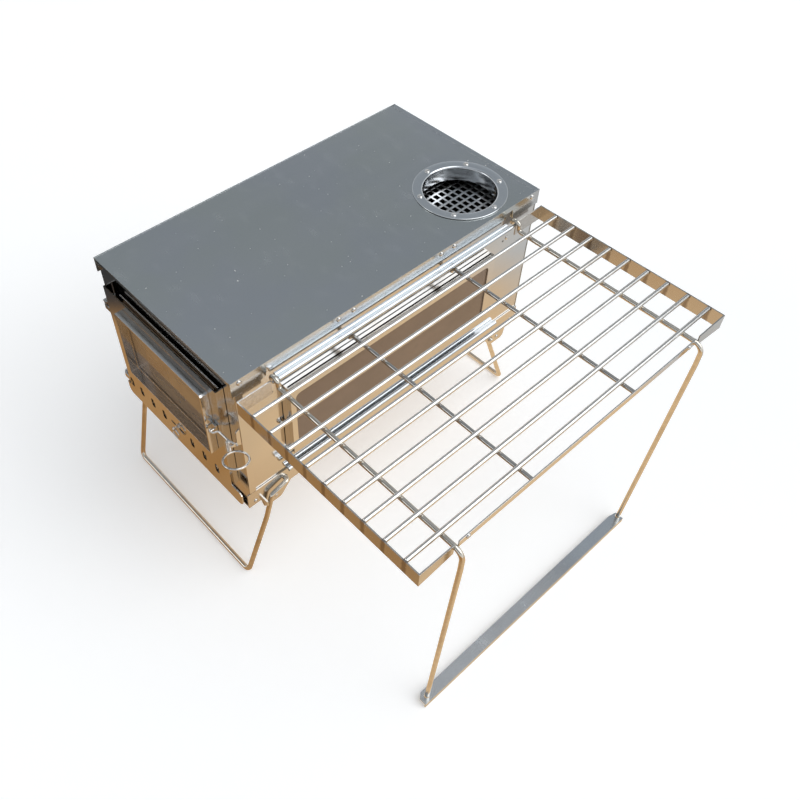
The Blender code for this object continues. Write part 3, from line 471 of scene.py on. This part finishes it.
def flue():
    """Flue collar: a short pipe with a flange, its mouth and its rim rolled round."""
    def arc(r, z, radius, angles):
        """Points about (r, z), at angles in radians from straight up."""
        return [(r + radius * math.sin(a), z + radius * math.cos(a)) for a in angles]

    under, over = FLANGE_Z
    wall, foot = FLUE_R + SHEET, TOP - FLUE_DEPTH
    bend_r, rim_r, mouth_r = 1.6, 0.55, 2.0
    bend = arc(wall + bend_r, under - bend_r, bend_r, (-1.57, -1.2, -0.8, -0.4, 0.0))
    rim = arc(FLANGE_R - rim_r, (under + over) / 2, rim_r, [math.pi - 0.4 * k for k in range(9)])
    mouth = arc(FLUE_R + mouth_r, over - mouth_r, mouth_r, [-0.26 * k for k in range(7)])
    profile = [(FLUE_R, foot), (wall, foot), *bend, *rim, *mouth]

    def ring(bm):
        rings = [[bm.verts.new((FLUE[0] + r * math.cos(a), FLUE[1] + r * math.sin(a), z)) for r, z in profile]
                 for a in around(96)]
        skin(bm, rings, closed=True)

    piece("flue_collar_ring", ring, "stove_body", "collar", ["flue_collar"], 50.0)


def rivets():
    """Blind rivet heads over the CAD ones, one piece for each group of sheets."""
    def heads(spots):
        def fill(bm):
            for centre, normal, r, h in spots:
                add_rivet(bm, centre, normal, r, h)
        return fill

    sides = (-1, 1)
    wide, small = (2.55, 1.4), (2.15, 1.2)     # head radius and height
    wall_out = BODY_HALF - 1.5
    top = [((s * BODY_HALF, y, TOP - 4.2), (s, 0, 0), *wide) for s in sides for y in TOP_RIVET_Y]
    top += [((x, BODY_LEN, TOP - 3.6), (0, 1, 0), *wide) for x in BACK_RIVET_X]
    tray = [((s * BODY_HALF, y, z), (s, 0, 0), *small) for s in sides for y, z in TRAY_RIVET_YZ]
    wall = [((s * wall_out, y, z), (s, 0, 0), 2.15, 1.3) for s in sides for y, z in WALL_RIVET_YZ]
    collar = [((FLUE[0] + FLANGE_RIVET_R * math.cos(a), FLUE[1] + FLANGE_RIVET_R * math.sin(a), FLANGE_Z[1]),
               (0, 0, 1), 2.6, 1.5) for a in [math.radians(5 + 60 * k) for k in range(6)]]
    rack = [((RACK_OUT, y, RACK_TOP - 4.0), (1, 0, 0), *small) for y in RACK_RIVET_Y]
    piece("top_plate_rivets", heads(top), "stove_body", "bright", ())
    piece("base_tray_rivets", heads(tray), "stove_body", "bright", ())
    piece("side_wall_rivets", heads(wall), "stove_body", "bright", ())
    piece("flue_collar_rivets", heads(collar), "stove_body", "bright", ())
    piece("rack_strip_rivets", heads(rack), "side_rack", "bright", ())


def air_knob():
    """Pull ring of the air slider and the eye stud that it hangs on."""
    x, y, z = KNOB
    ring_r, ring_wire = 6.2, 0.75
    eye_r, eye_wire = 1.95, 0.85

    def ring(bm):
        loop = [(x + ring_r * math.sin(a), y, z - ring_r + ring_r * math.cos(a)) for a in around(48)]
        add_wire(bm, loop, ring_wire, 12, closed=True)

    def stud(bm):
        eye = [(x, y + eye_r * math.cos(a), z + eye_r * math.sin(a)) for a in around(32)]
        add_wire(bm, eye, eye_wire, 12, closed=True)
        washer = [(3.0, 0.0), (3.0, 0.5), (1.25, 0.7), (1.2, 1.4)]
        add_turned(bm, washer, (x, DOOR_FACE, z), (0, -1, 0))

    piece("air_slider_ring_wire", ring, "slider_ring", "bright", ["air_slider_ring"])
    piece("air_slider_eye", stud, "air_slider", "bright", ["air_slider_stud"])


def latch():
    """Wire latch lever: pivot washer, bar, close-wound coil and pull ring."""
    x, y, z = LATCH
    bar_r, elbow, tip = 1.05, (x + 5.6, -7.0, z + 1.4), (100.6, -4.4, z)
    coil_x, coil_y = 94.6, -7.2
    coil_low, coil_high = TOP - 84.6, TOP - 69.9
    coil_r, coil_wire, core_r = 1.5, 0.6, 0.95
    turns, steps = 12.5, 18
    ring_centre, ring_r, ring_wire = Vector((107.4, -9.6, TOP - 82.5)), 11.1, 1.15
    ring_tilt = (1.9, -1.7)     # rise of the ring's outer and of its rear side

    def fill(bm):
        bar = rounded([(x, y, z), (x + 3.8, y, z + 0.8), elbow, (coil_x, -6.4, TOP - 70.8), tip],
                      [1.5, 2.0, 4.0], 6)
        add_wire(bm, bar, bar_r, 14)
        helix = []
        coil_rise = coil_high - coil_low - 2 * coil_wire
        for k in range(int(turns * steps) + 1):
            a = 2 * math.pi * k / steps
            height = coil_low + coil_wire + coil_rise * k / (turns * steps)
            helix.append((coil_x + coil_r * math.cos(a), coil_y + coil_r * math.sin(a), height))
        add_wire(bm, helix, coil_wire, 10)
        add_wire(bm, [(coil_x, coil_y, coil_low), (coil_x, coil_y, coil_high)], core_r, 12)
        ring = []
        for a in around(64):
            out, back = math.cos(a), math.sin(a)
            rise = ring_tilt[0] * out + ring_tilt[1] * back
            ring.append(ring_centre + Vector((ring_r * out, ring_r * back, rise)))
        add_wire(bm, ring, ring_wire, 14, closed=True)
        washer = [(2.3, -1.0), (2.3, 0.4), (1.9, 0.8), (1.5, 0.9), (1.3, 1.6), (0.6, 1.8), (0.0, 1.85)]
        add_turned(bm, washer, (x, y, z), (0, -1, 0))

    piece("latch_lever_wire", fill, "latch_handle", "bright", ["latch_handle"])


def legs():
    """The two U-shaped wire legs, each from the path of its right half."""
    def whole(half, radii):
        return rounded(half + [(-x, y, z) for x, y, z in reversed(half)], radii + radii[::-1])

    foot_y, foot_half = FRONT_FOOT
    outside = BODY_HALF + LEG_R + 1.7
    knee = Vector(FRONT_KNEE)
    run = knee + (Vector((foot_y, LEG_R)) - knee).normalized() * 30.0
    front = whole([(95.9, *FRONT_PIVOT), (outside, *FRONT_PIVOT), (outside, *knee), (outside, *run),
                   (foot_half, foot_y, LEG_R)], [3.0, 4.0, 20.0, 7.0])
    foot_y, foot_half = REAR_FOOT
    inside = BODY_HALF - SHEET - LEG_R - 0.6
    rear = whole([(103.2, *REAR_PIVOT), (inside, *REAR_PIVOT), (foot_half, foot_y, LEG_R)], [2.6, 7.0])
    piece("front_leg_wire", lambda bm: add_wire(bm, front, LEG_R, 24), "front_leg", "leg", ["front_leg"])
    piece("rear_leg_wire", lambda bm: add_wire(bm, rear, LEG_R, 24), "rear_leg", "leg", ["rear_leg"])


def rack_wires():
    """Rods, cross rods and the two end wires that are hook, cross run and leg in one."""
    def wire_piece(name, path, r, sides, finish, stands_for):
        piece(name, lambda bm: add_wire(bm, path, r, sides), "side_rack", finish, [stands_for])

    gap = 0.1
    front = STRIP_SETBACK + SHEET + gap
    back = BODY_LEN - front
    for i, x in enumerate(ROD_X, 1):
        path = [(x, front, ROD_Z), (x, back, ROD_Z)]
        wire_piece(f"rack_rod_{i}_wire", path, ROD_R, 20, "wire", f"rack_rod_{i}")
    tip_x, tip_drop, end_x = 105.6, 5.5, RACK_OUT - SHEET - gap
    for i, y in enumerate(MID_CROSS_Y, 1):
        path = rounded([(tip_x, y, CROSS_Z - tip_drop), (tip_x, y, CROSS_Z), (end_x, y, CROSS_Z)], [3.2])
        wire_piece(f"rack_cross_rod_{i}_wire", path, CROSS_R - 0.3, 20, "cross", f"rack_cross_rod_{i}")
    pin_x, hook_r = RAIL_X[1], HANG_PIN_R + CROSS_R + 0.5
    run_x = pin_x + hook_r + 30.0
    for place, y, stand_y in zip(("front", "rear"), END_CROSS_Y, RACK_FOOT_Y):
        hook = [(pin_x + hook_r * math.cos(a), y, UPPER_RAIL_Z + hook_r * math.sin(a))
                for a in [math.radians(degrees) for degrees in range(190, -1, -10)]]
        inner = rounded([hook[-1], (pin_x + hook_r, y, CROSS_Z), (run_x, y, CROSS_Z)], [4.0])
        outer = rounded([(run_x, y, CROSS_Z), (RACK_ELBOW_X, y, CROSS_Z), (RACK_ELBOW_X, y, CROSS_Z - 22.0),
                         (RACK_FOOT_X, stand_y, 2.0)], [9.0, 20.0])
        path = [*hook[:-1], *inner[:-1], *outer]
        wire_piece(f"rack_{place}_leg_and_hook", path, CROSS_R, 24, "leg", f"rack_leg_wire_{place}")


def rack_welds():
    """Resistance-weld nuggets where rods cross the wires, and beads where rods meet the strips."""
    def nugget(bm, centre, half_sizes):
        for vert in bmesh.ops.create_icosphere(bm, subdivisions=2, radius=1.0)["verts"]:
            bulge = 1.0 + random.uniform(-0.06, 0.06)
            vert.co = Vector(centre) + Vector([c * half * bulge for c, half in zip(vert.co, half_sizes)])

    def fill(bm):
        bead_in = 2.3
        for x in ROD_X:
            for y in (*END_CROSS_Y, *MID_CROSS_Y):
                nugget(bm, (x, y, ROD_Z - ROD_R - 0.2), (1.9, 1.9, 0.9))
            for y in (bead_in, BODY_LEN - bead_in):
                nugget(bm, (x, y, ROD_Z - 0.7), (2.3, 1.0, 1.9))

    piece("rack_weld_beads", fill, "side_rack", "weld", (), 80.0)


for finish, nodes in DRESS.items():
    for node, edge in nodes:
        dress(node, finish, edge)
for prefix, side in (("right", 1), ("left", -1)):
    rails(prefix, side)
flue()
rivets()
air_knob()
latch()
legs()
rack_wires()
rack_welds()


# --- studio -----------------------------------------------------------------------------------------
def plain_floor():
    """Wide pale floor with a barely visible paper grain and a faint glow, which thins the shadows."""
    bpy.ops.mesh.primitive_plane_add(size=14.0, location=(0.0, 0.0, 0.0))
    floor = bpy.context.object
    floor.name = "studio_floor"
    made = Finish("pale_paper")
    grain = made.mix(made.noise(60.0, detail=4.0), (0.93, 0.93, 0.93), (0.95, 0.95, 0.948))
    made.set(Base_Color=grain, Roughness=0.9, Specular_IOR_Level=0.1, Emission_Color=(1.0, 1.0, 1.0, 1.0),
             Emission_Strength=0.24)
    floor.data.materials.append(made.material)


def warm_card():
    """Warm ground seen only in the metal's reflections: tan beside the rack, browner before the door, nearly
    black at its far left and neutral grey behind the stove."""
    bpy.ops.mesh.primitive_plane_add(size=5.0, location=(0.0, 0.0, 0.0004))
    card = bpy.context.object
    card.name = "warm_ground_card"
    made = Finish("warm_ground")
    brown, tan = (0.40, 0.21, 0.075), (0.90, 0.66, 0.41)
    grey, black = (0.62, 0.66, 0.69), (0.045, 0.046, 0.048)
    x, y = made.axis(0), made.axis(1)
    across = made.math("ADD", made.math("MULTIPLY", x, 0.45), y)
    corner = made.math("ADD", x, made.math("MULTIPLY", y, 1.2))
    clouds = made.span(made.noise(9.0, (1.0, 0.3, 1.0), detail=5.0), 0.3, 0.7, 0.0, 0.35)
    ground = made.mix(made.span(across, -0.30, 0.02), brown, tan)
    ground = made.mix(made.span(y, 0.26, 0.42), ground, grey)
    ground = made.mix(clouds, ground, (0.62, 0.42, 0.22))
    ground = made.mix(made.span(corner, -0.79, -0.71), black, ground)
    made.set(Base_Color=(0.0, 0.0, 0.0, 1.0), Roughness=1.0, Specular_IOR_Level=0.0, Emission_Color=ground,
             Emission_Strength=1.0)
    card.data.materials.append(made.material)
    card.visible_camera = False
    card.visible_diffuse = False
    card.visible_shadow = False


# Direction, outer and inner angle in degrees, and colour of each patch of sky.
SKY_PATCHES = (
    ((0.76, 0.44, 0.48), 24.0, 12.0, (1.7, 1.75, 1.8)),
    ((-0.49, -0.76, 0.43), 15.0, 8.0, (2.1, 2.15, 2.2)),
    ((-0.49, -0.44, 0.76), 22.0, 14.0, (0.14, 0.138, 0.135)),
)


def key_light():
    """Broad soft key from above the rack side."""
    light = bpy.data.lights.new("soft_key", "SUN")
    light.angle = math.radians(56.0)
    light.energy = 1.20
    light.color = (1.0, 0.995, 0.985)
    lamp = bpy.data.objects.new("soft_key", light)
    lamp.rotation_euler = Vector((0.45, 0.30, 0.84)).to_track_quat("Z", "Y").to_euler()
    bpy.context.scene.collection.objects.link(lamp)


def sky():
    """Studio sky: pale at the horizon and grey above, with two bright cards and a dark flag in it."""
    world = bpy.data.worlds.new("studio_sky")
    world.use_nodes = True
    nodes, links = world.node_tree.nodes, world.node_tree.links
    direction = nodes.new("ShaderNodeTexCoord").outputs["Generated"]
    split = nodes.new("ShaderNodeSeparateXYZ")
    links.new(direction, split.inputs[0])
    bands_node = nodes.new("ShaderNodeValToRGB")
    bands = ((0.0, (0.90, 0.88, 0.85)), (0.16, (0.95, 0.96, 0.97)), (0.34, (0.50, 0.53, 0.56)),
             (0.57, (0.285, 0.312, 0.335)), (0.76, (0.325, 0.355, 0.385)), (1.0, (0.50, 0.52, 0.55)))
    ramp = bands_node.color_ramp
    while len(ramp.elements) < len(bands):
        ramp.elements.new(0.5)
    for element, (height, colour) in zip(ramp.elements, bands):
        element.position = height
        element.color = (*colour, 1.0)
    links.new(split.outputs[2], bands_node.inputs["Fac"])
    colour = bands_node.outputs["Color"]
    for aim, outer, inner, patch in SKY_PATCHES:
        dot = nodes.new("ShaderNodeVectorMath")
        dot.operation = "DOT_PRODUCT"
        links.new(direction, dot.inputs[0])
        dot.inputs[1].default_value = Vector(aim).normalized()
        edge = nodes.new("ShaderNodeMapRange")
        edge.interpolation_type = "SMOOTHSTEP"
        edge.inputs["From Min"].default_value = math.cos(math.radians(outer))
        edge.inputs["From Max"].default_value = math.cos(math.radians(inner))
        links.new(dot.outputs["Value"], edge.inputs["Value"])
        mix = nodes.new("ShaderNodeMix")
        mix.data_type = "RGBA"
        links.new(edge.outputs["Result"], mix.inputs["Factor"])
        links.new(colour, mix.inputs[6])
        mix.inputs[7].default_value = (*patch, 1.0)
        colour = mix.outputs[2]
    links.new(colour, nodes["Background"].inputs["Color"])
    bpy.context.scene.world = world


def photo_camera():
    """Camera above the corner between the door and the rack side."""
    azimuth, elevation, roll = math.radians(48.13), math.radians(49.40), math.radians(-0.1)
    target, distance = TO_FRAME @ Vector((100.0, 123.3, 188.8)), 0.7955
    level = Vector((math.sin(azimuth), -math.cos(azimuth), 0.0))
    away = level * math.cos(elevation) + Vector((0.0, 0.0, math.sin(elevation)))
    data = bpy.data.cameras.new("photo_camera")
    data.lens, data.sensor_width = 39.05, 36.0
    data.shift_x, data.shift_y = 0.0641, -0.0186
    data.clip_start, data.clip_end = 0.01, 50.0
    camera = bpy.data.objects.new("photo_camera", data)
    camera.location = target + away * distance
    facing = (-away).to_track_quat("-Z", "Y").to_matrix()
    camera.rotation_euler = (facing @ Matrix.Rotation(roll, 3, "Z")).to_euler()
    bpy.context.scene.collection.objects.link(camera)
    bpy.context.scene.camera = camera


plain_floor()
warm_card()
sky()
key_light()
photo_camera()
bpy.context.scene.view_settings.view_transform = "Standard"
